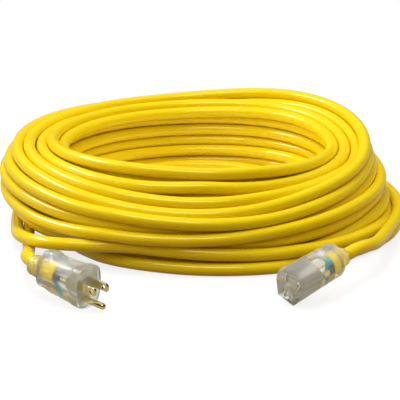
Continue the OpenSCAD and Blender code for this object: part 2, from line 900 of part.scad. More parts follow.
// Glow lamp between the two tails, lying against the roof of the chamber
lamp_x = tail_x;
lamp_nose = 0.5;
lamp_dome = 1.8;
lamp_nose_r = 0.3 * lamp_d;
lead_x = conn_carrier_x - tail_len / 2;
lead_lift = 0.8;
lead_z = slot_lift + lead_lift;
lead_y = 0.9;
resistor_len = 3.4;
resistor_in = 0.8;
resistor_y = lead_y + resistor_in;

module glow_lamp() {
    color(lamp_tint)
        connector_place()
            translate([lamp_x - lamp_len, 0, lamp_z])
                rotate([0, 90, 0])
                    rotate_extrude()
                        polygon([[0, 0], [lamp_nose_r, lamp_nose], [lamp_d / 2, lamp_dome],
                            [lamp_d / 2, lamp_len], [0, lamp_len]]);
}

module lamp_resistor() {
    color(resistor_tint)
        connector_place()
            translate([lead_x, resistor_y, lead_z])
                rotate([-90, 0, 0])
                    cylinder(d = resistor_d, h = resistor_len);
}

// Leads of the lamp: to the neutral tail, to the resistor and on to the live tail
module lamp_leads() {
    tail_side = slot_y - tail_t / 2;
    back = [1, 0, 0];
    left = [0, 1, 0];
    bend = lead_d;
    color(tin_tint)
        connector_place() {
            tube([[lamp_x, -lead_y, lead_z], [lead_x - bend, -lead_y, lead_z], [lead_x, -lead_y - bend, lead_z],
                [lead_x, -tail_side, lead_z]], lead_d, coil_sides, back, -left);
            tube([[lamp_x, lead_y, lead_z], [lead_x - bend, lead_y, lead_z], [lead_x, lead_y + bend, lead_z],
                [lead_x, resistor_y, lead_z]], lead_d, coil_sides, back, left);
            tube([[lead_x, resistor_y + resistor_len, lead_z], [lead_x, tail_side, lead_z]],
                lead_d, coil_sides, left, left);
        }
}

cord_coil();
cord_core();
connector_tail();
plug_tail();
plug_body();
plug_collar();
plug_jacket_end();
prong_carrier();
hot_blade();
neutral_blade();
ground_pin();
plug_hot_crimp();
plug_neutral_crimp();
plug_ground_crimp();
plug_hot_wire();
plug_neutral_wire();
plug_ground_wire();
connector_body();
connector_collar();
connector_jacket_end();
contact_carrier();
hot_contact();
neutral_contact();
ground_contact();
hot_leaf_left();
hot_leaf_right();
neutral_leaf_left();
neutral_leaf_right();
ground_leaf_left();
ground_leaf_right();
connector_hot_crimp();
connector_neutral_crimp();
connector_ground_crimp();
connector_hot_wire();
connector_neutral_wire();
connector_ground_wire();
glow_lamp();
lamp_resistor();
lamp_leads();
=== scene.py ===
import bpy
import numpy as np
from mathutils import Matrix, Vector


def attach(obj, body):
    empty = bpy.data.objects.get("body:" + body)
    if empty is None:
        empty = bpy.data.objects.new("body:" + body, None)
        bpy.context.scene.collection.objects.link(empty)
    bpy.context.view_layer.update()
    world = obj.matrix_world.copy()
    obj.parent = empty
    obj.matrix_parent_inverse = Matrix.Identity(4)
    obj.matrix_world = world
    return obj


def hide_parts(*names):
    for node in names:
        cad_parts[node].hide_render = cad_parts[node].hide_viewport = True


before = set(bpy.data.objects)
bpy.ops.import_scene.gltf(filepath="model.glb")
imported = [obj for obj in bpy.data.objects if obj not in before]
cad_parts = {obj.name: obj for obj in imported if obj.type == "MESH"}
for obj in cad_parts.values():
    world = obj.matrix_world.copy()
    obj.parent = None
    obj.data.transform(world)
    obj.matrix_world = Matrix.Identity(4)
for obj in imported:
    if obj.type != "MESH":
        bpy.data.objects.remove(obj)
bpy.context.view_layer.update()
scene = bpy.context.scene
scene.view_settings.view_transform = "Standard"
print("frame loaded:", len(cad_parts), "nodes")

# where the coil and the two ends lie, in millimetres, as in the part's source; the leads are the scene's own
layout = dict(
    coilAt=(-0.7, 37.6), coilR=172.0,
    plugAt=(249.2, 73.4, 16.7), plugTurn=(0.0, 5.0, -41.0), plugLen=56.0,
    connectorAt=(284.9, 63.8, 16.5), connectorTurn=(-21.0, 7.0, 225.5), connectorLen=62.5,
    # the connector's lead runs straight at first: distances behind the connector's end
    connectorLead=(-3, 2, 7, 12),
    # the plug's lead: bearing, distance outside the widest loop, height
    plugRoute=((220.66, 14.6, 6.4), (225.47, 26.6, 11.2), (229.32, 38.5, 16.8), (231.87, 48.6, 20.6),
               (233.59, 53.9, 21.7), (235.49, 58.0, 21.8), (237.41, 60.6, 21.2)),
)


def fromPolar(az, r, z):
    # bearing in degrees, radius about the coil's middle and height, to plain millimetres
    a = np.radians(az)
    return np.stack((layout["coilAt"][0] + r * np.cos(a), layout["coilAt"][1] + r * np.sin(a), z), 1)


def besideCoil(spots):
    # the same from rows of bearing, distance outside the widest loop and height
    az, out, z = np.atleast_2d(np.array(spots, float)).T
    return fromPolar(az, layout["coilR"] + out, z)


def turning(turn):
    # turn about X, then Y, then Z, as one matrix
    a, b, c = np.radians(turn)
    x = np.array([[1, 0, 0], [0, np.cos(a), -np.sin(a)], [0, np.sin(a), np.cos(a)]])
    y = np.array([[np.cos(b), 0, np.sin(b)], [0, 1, 0], [-np.sin(b), 0, np.cos(b)]])
    z = np.array([[np.cos(c), -np.sin(c), 0], [np.sin(c), np.cos(c), 0], [0, 0, 1]])
    return z @ y @ x


plugPlace = (besideCoil(layout["plugAt"])[0], turning(layout["plugTurn"]))
connectorPlace = (besideCoil(layout["connectorAt"])[0], turning(layout["connectorTurn"]))


def carry(points, place):
    # an end piece's own millimetres to metres in the frame
    return (place[0] + np.asarray(points, float) @ place[1].T) / 1000


class Wire:
    # an output socket, so that shader maths reads as plain sums
    def __init__(self, tree, socket):
        self.tree, self.socket = tree, socket

    def sum(self, operation, first, second):
        return node(self.tree, "ShaderNodeMath", {"operation": operation}, {0: first, 1: second})

    def __add__(self, other): return self.sum("ADD", self, other)
    def __radd__(self, other): return self.sum("ADD", other, self)
    def __rsub__(self, other): return self.sum("SUBTRACT", other, self)
    def __mul__(self, other): return self.sum("MULTIPLY", self, other)
    def __rmul__(self, other): return self.sum("MULTIPLY", other, self)


def node(tree, kind, settings, inputs, out=0):
    # any node: its settings first, then the values or links of its sockets
    made = tree.nodes.new(kind)
    for key, value in settings.items():
        setattr(made, key, value)
    for key, value in inputs.items():
        if isinstance(value, Wire):
            tree.links.new(value.socket, made.inputs[key])
        else:
            made.inputs[key].default_value = value
    return Wire(tree, made.outputs[out])


def newFinish(name, fixed):
    # a material with its fixed sockets set, ready for what varies
    made = bpy.data.materials.new(name)
    made.use_nodes = True
    shader = made.node_tree.nodes["Principled BSDF"]
    for key, value in fixed.items():
        shader.inputs[key].default_value = value
    return made, made.node_tree, shader


def feed(tree, shader, **wires):
    for key, wire in wires.items():
        tree.links.new(wire.socket, shader.inputs[key.replace("_", " ")])


def blendTones(tree, amount, first, second):
    # sockets 6 and 7 and output 2 are the ones for colour
    first, second = (tone if isinstance(tone, Wire) else (*tone, 1) for tone in (first, second))
    return node(tree, "ShaderNodeMix", {"data_type": "RGBA"}, {0: amount, 6: first, 7: second}, 2)


def noise(tree, vector, scale, detail=3.0):
    return node(tree, "ShaderNodeTexNoise", {}, {"Vector": vector, "Scale": scale, "Detail": detail})


def objectSpot(tree):
    return node(tree, "ShaderNodeTexCoord", {}, {}, "Object")


def stretch(tree, vector, scale, rotation=(0, 0, 0)):
    return node(tree, "ShaderNodeMapping", {}, {"Vector": vector, "Rotation": rotation, "Scale": scale})


def bumps(tree, height, strength, distance):
    return node(tree, "ShaderNodeBump", {}, {"Strength": strength, "Distance": distance, "Height": height})


def vectorMath(tree, operation, *vectors):
    # a sum of vectors that comes out as one number
    return node(tree, "ShaderNodeVectorMath", {"operation": operation}, dict(enumerate(vectors)), "Value")


def mapSpan(tree, value, span, least=0.0, ease="LINEAR"):
    # from the least to 1 while the value crosses the span
    return node(tree, "ShaderNodeMapRange", {"interpolation_type": ease},
                {"Value": value, "From Min": span[0], "From Max": span[1], "To Min": least})


def rayKinds(tree):
    kinds = ("Is Camera Ray", "Is Glossy Ray", "Is Transmission Ray")
    return [node(tree, "ShaderNodeLightPath", {}, {}, kind) for kind in kinds]


# camera at the photograph's angle: degrees, metres, millimetres for the aim and the lens
camera = dict(elevation=16.5, distance=1.3, aim=(-5.1, 37.6, 13.8), lens=133.65, sensor=36, clip=(0.05, 50))
tilt = np.radians(camera["elevation"])
eye = bpy.data.cameras.new("camera")
eye.lens, eye.sensor_width = camera["lens"], camera["sensor"]
eye.clip_start, eye.clip_end = camera["clip"]
cameraObject = bpy.data.objects.new("camera", eye)
scene.collection.objects.link(cameraObject)
back = Vector((0, -np.cos(tilt), np.sin(tilt)))
cameraObject.location = Vector(camera["aim"]) / 1000 + back * camera["distance"]
cameraObject.rotation_mode = "QUATERNION"
cameraObject.rotation_quaternion = (-back).to_track_quat("-Z", "Y")
scene.camera = cameraObject
print("camera placed")


def gridFaces(rows, cols, closeAlong):
    # quads of a grid of rows along and cols around, as index rows
    i = np.arange(rows if closeAlong else rows - 1)[:, None]
    k = np.arange(cols)[None, :]
    n, m = (i + 1) % rows, (k + 1) % cols
    return np.stack((i * cols + k, i * cols + m, n * cols + m, n * cols + k), -1).reshape(-1, 4)


def gridPiece(name, points, closeAlong=False, uv=None, sharp=None):
    # a surface from points[along, around, xyz], closed around; open ends get a fan to their middle
    rows, cols = points.shape[:2]
    verts, quads = points.reshape(-1, 3), gridFaces(rows, cols, closeAlong)
    fans = np.zeros((0, 3), int)
    if not closeAlong:
        k = np.arange(cols)
        m = (k + 1) % cols
        last = (rows - 1) * cols
        verts = np.concatenate((verts, points[0].mean(0)[None], points[-1].mean(0)[None]))
        first = np.stack((m, k, np.full(cols, rows * cols)), 1)
        fans = np.concatenate((first, np.stack((last + k, last + m, np.full(cols, rows * cols + 1)), 1)))
    tris = np.concatenate((quads[:, [0, 1, 2]], quads[:, [0, 2, 3]], fans))
    a, b, c = (verts[tris[:, j]] - verts.mean(0) for j in range(3))
    if (a * np.cross(b, c)).sum() < 0:
        quads, fans = quads[:, ::-1], fans[:, ::-1]
    mesh = bpy.data.meshes.new(name)
    mesh.from_pydata(verts.tolist(), [], quads.tolist() + fans.tolist())
    mesh.shade_smooth()
    if sharp:
        mesh.set_sharp_from_angle(angle=np.radians(sharp))
    if uv is not None:
        layer = mesh.uv_layers.new(name="run")
        corner = np.zeros(len(mesh.loops), np.int32)
        mesh.loops.foreach_get("vertex_index", corner)
        layer.data.foreach_set("uv", uv[corner].astype(np.float32).ravel())
    made = bpy.data.objects.new(name, mesh)
    scene.collection.objects.link(made)
    return made


def settlePiece(piece, material, slotName, *nodes, body="cord"):
    piece.data.materials.clear()
    piece.data.materials.append(material)
    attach(piece, body)
    if nodes:
        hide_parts(*nodes)
    return piece


# the cord: loops laid in part from listed points, then pressed into a pile; millimetres, but the length in
# metres
coil = dict(
    d=10.2, length=30.48, steps=96, startAz=-50.0, turns=33.745, seed=11, sides=18, ring=8.0,
    wander=1.3, waves=(0.7, 1.3, 2.1, 3.3), hold=0.07, rows=(6, 6, 5, 4, 4, 3, 2, 4), fade=28.0,
    # in turns: the first loops change slots at the back, the others at the front, out of sight
    firstLoops=11, swapFirst=0.61, swapOthers=0.11, swapPlay=0.12, swapLength=(0.25, 0.5),
    # the section at eight bearings: right, back right, back, back left, left, front left, front, front right
    inTop=((113, 61), (115, 70), (117, 67), (122, 68), (129, 67), (124, 68), (119, 66), (115, 63)),
    outTop=((135, 68), (142, 86), (139, 76), (154, 73), (163, 68), (157, 56), (147, 43), (141, 55)),
    outMid=(149, 152, 160, 167, 175, 168, 156, 151),
    outFoot=(160, 160, 163, 158, 152, 152, 158, 162),
    inFoot=(102, 108, 110, 112, 108, 102, 96, 99),
    # stretches laid from listed points: turn, grip, free end, then bearing, radius and height
    laid=(
        (0, 0.7, -1, (
            (-50, 200.5, 22.5), (-45, 190, 19.5), (-37.4, 178.5, 17), (-29.6, 172, 16), (-20, 168.8, 15.6),
            (0, 166, 15.5), (40, 164, 15.5), (90, 163, 14), (130, 164, 9), (160, 163, 5.4), (181.8, 162.1, 5.2),
            (192, 163.1, 5.2), (200.1, 166.1, 5.6), (208.4, 174, 9), (214, 181.5, 13), (219.1, 187, 16.8),
            (226.1, 186.5, 18.5), (232, 175, 18.5), (240, 163, 20.5), (247, 156.5, 21), (255.4, 156.5, 19),
            (270, 158.5, 17), (300, 161, 17))),
        (3, 0.25, 0, (
            (150, 169, 37), (185, 171.5, 34.5), (200, 172.5, 33), (211.5, 172.5, 30), (221.5, 168, 21.8),
            (229, 163, 18), (243, 155, 16.5))),
        (32, 0.4, 1, (
            (200, 135, 5.2), (245, 152, 5.2), (270, 160, 5.2), (315, 165, 5.2), (350, 168, 5.2),
            (405, 167, 5.2), (450, 166, 5.2), (495, 158, 5.2), (525, 150, 5.2), (540, 147.3, 5.2),
            (553, 151, 5.2), (560, 155.3, 5.2), (565.7, 161.3, 5.2), (574.9, 174.9, 5.2), (576.5, 178, 5.3))),
    ),
    # dents: turn, bearing, spread, then how far in or out and up or down
    dents=((1, 240, 50, -22, -6), (2, 240, 45, -20, -8), (4, 268, 42, -6, -8), (5, 272, 40, 4, -3),
           (28, 95, 38, -9, 4)),
)


def around(values, az):
    # trigonometric curve through eight values at bearings 0, 45 ... 315
    wave = np.fft.rfft(np.array(values, float)) / 8
    a = np.radians(az)[:, None] * np.arange(1, 4)
    swing = 2 * (np.cos(a) @ wave[1:4].real - np.sin(a) @ wave[1:4].imag)
    return wave[0].real + swing + wave[4].real * np.cos(4 * np.radians(az))


def slotOrder(rows):
    # height and depth of each loop's slot, 0 to 1: up the outer column, then row by row from the top down
    top = len(rows) - 1
    order = [(m / top, 1.0) for m in range(top + 1)]
    for i, m in enumerate(range(top, -1, -1)):
        depth = 1 - np.arange(1, rows[m]) / (rows[m] - 1)
        order += [(m / top, c) for c in (depth[::-1] if i % 2 else depth)]
    return np.array(order)


def easeStep(x):
    x = np.clip(x, 0, 1)
    return x * x * (3 - 2 * x)


def loopTargets():
    # where each loop would like to lie: its slot in the section at that bearing, plus a slow wander
    rng = np.random.default_rng(coil["seed"])
    n = int(coil["turns"] * coil["steps"]) + 1
    t = np.arange(n) / coil["steps"]
    az = coil["startAz"] + 360 * t
    slots = slotOrder(coil["rows"])
    place = np.tile(slots[0], (n, 1))
    for i in range(1, len(slots)):
        early = coil["swapFirst"] if i < coil["firstLoops"] else coil["swapOthers"]
        mid = i - early + rng.uniform(-coil["swapPlay"], coil["swapPlay"])
        wide = rng.uniform(*coil["swapLength"])
        place += easeStep((t - mid) / wide + 0.5)[:, None] * (slots[i] - slots[i - 1])
    up, depth = place.T
    inTop, outTop = np.array(coil["inTop"]).T, np.array(coil["outTop"]).T
    inner = around(coil["inFoot"], az) * (1 - up) + around(inTop[0], az) * up
    foot, mid, top = (around(v, az) for v in (coil["outFoot"], coil["outMid"], outTop[0]))
    outer = foot * (1 - up) * (1 - 2 * up) + mid * 4 * up * (1 - up) + top * up * (2 * up - 1)
    roof = around(inTop[1], az) * (1 - depth) + around(outTop[1], az) * depth
    drift = np.zeros((2, n))
    for wave in coil["waves"]:
        x = t * wave
        i = x.astype(int)
        for row in drift:
            knots = rng.normal(size=int(coil["turns"] * wave) + 4)
            row += (knots[i] + (knots[i + 1] - knots[i]) * easeStep(x - i)) / wave ** 0.5
    r = inner + (outer - inner) * depth + coil["wander"] * drift[0]
    z = coil["d"] / 2 + (roof - coil["d"] / 2) * up + coil["wander"] / 2 * drift[1]
    for turn, bearing, spread, out, lift in coil["dents"]:
        bell = np.exp(-((az - bearing - 360 * turn) / spread) ** 2)
        r, z = r + out * bell, z + lift * bell
    hold = np.full(n, coil["hold"])
    for turn, grip, free, spots in coil["laid"]:
        # a stretch fades out at both ends, but not where the cord itself starts or ends
        bearing, radius, height = np.array(spots, float).T
        bearing = bearing + 360 * turn
        enter = easeStep((az - bearing[0]) / coil["fade"]) if free >= 0 else az >= bearing[0] - 1
        leave = easeStep((bearing[-1] - az) / coil["fade"]) if free <= 0 else az <= bearing[-1] + 1
        part = enter.astype(float) * leave
        r += part * (np.interp(az, bearing, radius) - r)
        z += part * (np.interp(az, bearing, height) - z)
        hold += part * (grip - hold)
    return az, r, z, hold


# how the pile is pressed, by the share of the rounds that are done: loops start thin and swell, then calm down
press = dict(
    rounds=420, stiff=0.45, sink=0.05, liftShare=0.6, shove=0.32, thin=0.55, swell=0.465, swollenAt=0.7,
    calmFrom=0.75, calmOver=0.2, calmLeast=0.15, pushes=2, lastPushes=4, lastFrom=0.9, faraway=9e3, speck=1e-6,
)


def settleLoops():
    # in each bearing's half-plane loops are pulled to their aims, smoothed along the cord and pushed apart
    az, rAim, zAim, hold = loopTargets()
    n, steps, d = len(az), coil["steps"], coil["d"]
    loops = -(-n // steps)
    spare = np.full(loops * steps - n, press["faraway"])
    same = np.eye(loops, dtype=bool)[:, :, None]
    r, z = rAim.copy(), np.maximum(zAim, d / 2)
    for turn in range(press["rounds"]):
        s = turn / press["rounds"]
        size = d * (press["thin"] + press["swell"] * min(1, s / press["swollenAt"]))
        calm = min(1, max(press["calmLeast"], 1 - (s - press["calmFrom"]) / press["calmOver"]))
        r += calm * hold * (rAim - r)
        z += calm * (hold * press["liftShare"] * (zAim - z) - press["sink"])
        for line in (r, z):
            e = np.pad(line, 2, mode="reflect", reflect_type="odd")
            line += press["stiff"] * ((e[:-4] + 4 * e[1:-3] + 6 * e[2:-2] + 4 * e[3:-1] + e[4:]) / 16 - line)
        for _ in range(press["pushes"] if s < press["lastFrom"] else press["lastPushes"]):
            rr, zz = (np.concatenate((v, spare)).reshape(loops, steps) for v in (r, z))
            dr, dz = rr[:, None] - rr, zz[:, None] - zz
            gap = np.sqrt(dr * dr + dz * dz) + press["speck"]
            push = press["shove"] * np.where(same, 0, np.clip(size - gap, 0, None)) / gap
            r += (push * dr).sum(1).ravel()[:n]
            z = np.maximum(z + (push * dz).sum(1).ravel()[:n], d / 2)
    return az, r, z


def runAlong(path):
    # distance along a path at each of its points
    return np.concatenate(([0], np.cumsum(np.linalg.norm(np.diff(path, axis=0), axis=1))))


def between(rows, slope, i, f, span=1):
    # smooth curve from row i to row i + 1, at the share f of the span
    return (rows[i] * (1 + 2 * f) * (1 - f) ** 2 + rows[i + 1] * f * f * (3 - 2 * f)
            + span * slope[i] * f * (1 - f) ** 2 + span * slope[i + 1] * f * f * (f - 1))


def evenPath(points, step):
    # smooth curve through the points, at even steps along it
    for _ in range(2):
        run = runAlong(points)
        slope = np.gradient(points, run, axis=0)
        at = np.linspace(0, run[-1], int(round(run[-1] / step)) + 1)
        i = np.clip(np.searchsorted(run, at) - 1, 0, len(run) - 2)
        h = (run[i + 1] - run[i])[:, None]
        f = ((at - run[i])[:, None]) / h
        points = between(points, slope, i, f, h)
    return points


def tubeRings(path, radius, sides):
    # rings square to a path that is nowhere upright
    ahead = np.gradient(path, axis=0)
    ahead /= np.linalg.norm(ahead, axis=1)[:, None]
    across = np.cross(ahead, (0, 0, 1))
    across /= np.linalg.norm(across, axis=1)[:, None]
    above = np.cross(across, ahead)
    a = np.linspace(0, 2 * np.pi, sides, endpoint=False)[None, :, None]
    return path[:, None] + radius * (np.cos(a) * across[:, None] + np.sin(a) * above[:, None])


def tubeUv(path, sides):
    # metres along the tube, and 0 to 1 to 0 around it, with the two end caps last
    run = runAlong(path)
    turn = np.abs(np.linspace(-1, 1, sides, endpoint=False))
    grid = np.stack(np.broadcast_arrays(run[:, None], turn[None]), -1).reshape(-1, 2)
    return np.concatenate((grid, [[0, 0.5], [run[-1], 0.5]]))


loopsXyz = fromPolar(*settleLoops())
leadSpots = [(-layout["connectorLen"] - behind, 0, 0) for behind in layout["connectorLead"]]
connectorLead = carry(leadSpots, connectorPlace) * 1000
wholePath = np.concatenate((connectorLead, loopsXyz[1:], besideCoil(layout["plugRoute"])))
cordPath = evenPath(wholePath, coil["ring"]) / 1000
cordRadius = coil["d"] / 2000
print("cord laid:", len(cordPath), "rings,", round(float(runAlong(cordPath)[-1]), 2), "m")


def makeJacket():
    # bright yellow vinyl: faint lengthwise streaks, cloudy gloss, fine skin
    made, tree, shader = newFinish("yellowJacket", {
        "Specular IOR Level": 0.4, "Specular Tint": (1.0, 0.86, 0.28, 1), "Coat Roughness": 0.09})
    run = node(tree, "ShaderNodeUVMap", {"uv_map": "run"}, {})
    streak = noise(tree, stretch(tree, run, (9, 5, 1)), scale=3.0)
    spot = objectSpot(tree)
    cloud = noise(tree, spot, scale=22.0, detail=4.0)
    skin = noise(tree, spot, scale=900.0, detail=2.0)
    tone = blendTones(tree, 0.55 * streak + 0.45 * cloud, (0.82, 0.595, 0.0), (0.86, 0.64, 0.0))
    feed(tree, shader, Base_Color=tone, Roughness=0.3 + 0.06 * cloud, Coat_Weight=0.25 + 0.2 * streak,
         Normal=bumps(tree, skin, strength=0.02, distance=0.0003))
    return made


jacket = makeJacket()
cordRings = tubeRings(cordPath, cordRadius, coil["sides"])
cordPiece = gridPiece("yellowCord", cordRings, uv=tubeUv(cordPath, coil["sides"]))
settlePiece(cordPiece, jacket, "jacket", "cord_coil", "cord_core", "connector_tail", "plug_tail")


def makeVinyl(name, tint, cloudy, clear, bend, ribShade=0.0):
    # clear moulded vinyl: a little smoky, with flow marks and a soft skin; where asked, painted light and shade
    # of ribs
    made, tree, shader = newFinish(name, {"Transmission Weight": clear, "IOR": bend, "Specular IOR Level": 0.5})
    spot = objectSpot(tree)
    flow = noise(tree, stretch(tree, spot, (1.0, 1.0, 2.2)), scale=120.0)
    skin = noise(tree, spot, scale=700.0, detail=2.0)
    # painted light and shade of ribs: paler and darker bands along the connector, one every 4.8 mm of its
    # height
    ribRate = 1300.0
    height = vectorMath(tree, "DOT_PRODUCT", spot, tuple(connectorPlace[1][:, 2]))
    ribLight = node(tree, "ShaderNodeMath", {"operation": "SINE"}, {0: ribRate * height})
    flowAndRibShade = tuple((0.94 - 0.5 * ribShade) * v for v in tint)
    tone = blendTones(tree, (1 - ribShade) * flow + ribShade * (0.5 + 0.5 * ribLight), flowAndRibShade, tint)
    feed(tree, shader, Base_Color=tone, Roughness=cloudy + 0.1 * flow,
         Normal=bumps(tree, 0.6 * flow + 0.4 * skin, strength=0.12, distance=0.0003))
    return made


def makeBrass(name, tone, rough):
    # drawn metal: fine scratches, darker and duller patches
    made, tree, shader = newFinish(name, {"Metallic": 1.0})
    spot = objectSpot(tree)
    scratch = noise(tree, stretch(tree, spot, (1, 14, 14), rotation=(0, 0, 0.7)), scale=160.0)
    patch = noise(tree, spot, scale=190.0, detail=4.0)
    colour = blendTones(tree, patch, tuple(0.72 * v for v in tone), tone)
    feed(tree, shader, Base_Color=colour, Roughness=rough + 0.18 * patch,
         Normal=bumps(tree, scratch, strength=0.1, distance=0.0001))
    return made


def makeSheath(name, tone, paler):
    # thin extruded insulation: cloudy tone and a soft shine
    made, tree, shader = newFinish(name, {"Specular IOR Level": 0.45})
    spot = objectSpot(tree)
    cloud = noise(tree, spot, scale=260.0)
    skin = noise(tree, spot, scale=1600.0, detail=2.0)
    feed(tree, shader, Base_Color=blendTones(tree, cloud, tone, paler), Roughness=0.3 + 0.2 * cloud,
         Normal=bumps(tree, skin, strength=0.08, distance=0.0002))
    return made


smokyVinyl = makeVinyl("smokyVinyl", (0.77, 0.775, 0.74), cloudy=0.25, clear=0.87, bend=1.46)
clearVinyl = makeVinyl("clearVinyl", (0.90, 0.89, 0.83), cloudy=0.14, clear=0.84, bend=1.4)
# the carrier's ribs are painted as paler and shaded bands in its colour
paleCarrier = makeVinyl("hazyCarrier", (0.96, 0.95, 0.88), cloudy=0.3, clear=0.80, bend=1.03, ribShade=0.7)
lampGlass = makeVinyl("lampGlass", (0.90, 0.86, 0.72), cloudy=0.1, clear=0.9, bend=1.06)
brass = makeBrass("prongBrass", (0.95, 0.81, 0.38), rough=0.12)
contactBrass = makeBrass("contactBrass", (0.68, 0.58, 0.29), rough=0.3)
tinned = makeBrass("tinnedWire", (0.80, 0.80, 0.78), rough=0.25)
blackSheath = makeSheath("blackInsulation", (0.018, 0.022, 0.03), (0.05, 0.058, 0.075))
whiteSheath = makeSheath("whiteInsulation", (0.50, 0.50, 0.47), (0.62, 0.62, 0.59))
greenSheath = makeSheath("greenInsulation", (0.01, 0.27, 0.27), (0.03, 0.42, 0.40))
resistorBody = makeSheath("resistorBody", (0.52, 0.40, 0.22), (0.66, 0.54, 0.33))

# nodes that keep their own shape take a finish
dress = dict(prong_carrier=paleCarrier, contact_carrier=paleCarrier, glow_lamp=lampGlass,
             lamp_resistor=resistorBody, lamp_leads=tinned)
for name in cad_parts:
    if name.endswith(("_crimp", "_contact", "_left", "_right")):
        dress[name] = contactBrass
for name, finish in dress.items():
    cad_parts[name].data.materials.clear()
    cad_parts[name].data.materials.append(finish)
print("finishes made")


def easeTable(stations, per):
    # rows between given stations, each column a curve that never overshoots them
    table = np.array(stations, float)
    step = np.diff(table, axis=0)
    slope = np.zeros_like(table)
    both = step[:-1] * step[1:]
    slope[1:-1] = np.where(both > 0, 2 * both / np.where(both > 0, step[:-1] + step[1:], 1), 0)
    slope[0], slope[-1] = step[0], step[-1]
    t = np.arange(per * (len(table) - 1) + 1) / per
    i = np.minimum(t.astype(int), len(table) - 2)
    return between(table, slope, i, (t - i)[:, None])


def lathe(profile, per, sides, at=(0, 0)):
    # rings of a profile of place and radius about the X axis
    x, radius = easeTable(profile, per).T[:, :, None]
    a = np.linspace(0, 2 * np.pi, sides, endpoint=False)[None]
    return np.stack(np.broadcast_arrays(x, at[0] + radius * np.cos(a), at[1] + radius * np.sin(a)), -1)


def squared(wave, power):
    # a circle's sine or cosine, pulled towards a box's
    return np.sign(wave) * np.abs(wave) ** (2 / power)


def ovalRings(stations, per, sides):
    # squarish ovals: half width, low and high at each place, with a power between a circle and a box
    x, wide, low, high, power = easeTable(stations, per).T[:, :, None]
    a = np.linspace(0, 2 * np.pi, sides, endpoint=False)[None]
    y = wide * squared(np.cos(a), power)
    z = (low + high) / 2 + (high - low) / 2 * squared(np.sin(a), power)
    return np.stack(np.broadcast_arrays(x, y, z), -1)


def endPiece(name, rings, place, finish, slotName, nodeName, sharp, closed=False):
    # one piece of an end, from rings in that end's own millimetres
    piece = gridPiece(name, carry(rings, place), closed, sharp=sharp)
    return settlePiece(piece, finish, slotName, nodeName)


# the conductors in both ends: their lay in the cord in degrees, and what covers them
wires = dict(
    d=3.8, ring=2.3, rings=25, sides=20, straight=0.06, sharp=50,
    lay=dict(plug=dict(hot=188, neutral=40, ground=275), connector=dict(hot=-20, neutral=200, ground=90)),
    finish=dict(hot=blackSheath, neutral=whiteSheath, ground=greenSheath),
    slot=dict(hot="black_insulation", neutral="white_insulation", ground="green_insulation"),
)


def wireRings(place, back, lay, front, seat):
    # a conductor that eases from its lay in the cord to its crimp, straight at both ends
    t = np.linspace(0, 1, wires["rings"])[:, None]
    run = easeStep((t - wires["straight"]) / (1 - 2 * wires["straight"]))
    path = np.concatenate((back + (front - back) * t, lay + (np.array(seat) - lay) * run), 1)
    return tubeRings(carry(path, place), wires["d"] / 2000, wires["sides"])


def layWires(end, place, back, front, seats):
    made = []
    for kind, seat in seats.items():
        a = np.radians(wires["lay"][end][kind])
        lay = wires["ring"] * np.array((np.cos(a), np.sin(a)))
        rings = wireRings(place, back, lay, front, seat)
        piece = gridPiece(end + kind.capitalize() + "Wire", rings, sharp=wires["sharp"])
        made.append(settlePiece(piece, wires["finish"][kind], wires["slot"][kind], end + "_" + kind + "_wire"))
    return made


# the cut ends of the jacket in both mouldings
cutEnd = dict(rings=14, sides=32, shrink=0.94, into=2.5, sharp=40)


def jacketEnd(name, place, front, length, nodeName):
    # the last of the cord inside its moulding, with a slightly rounded cut
    x = np.linspace(front, cutEnd["into"] - length, cutEnd["rings"])
    path = carry(np.stack((x, np.zeros_like(x), np.zeros_like(x)), 1), place)
    rings = tubeRings(path, cordRadius, cutEnd["sides"])
    rings[0] = path[0] + (rings[0] - path[0]) * cutEnd["shrink"]
    piece = gridPiece(name, rings, uv=tubeUv(path, cutEnd["sides"]), sharp=cutEnd["sharp"])
    return settlePiece(piece, jacket, "jacket", nodeName)


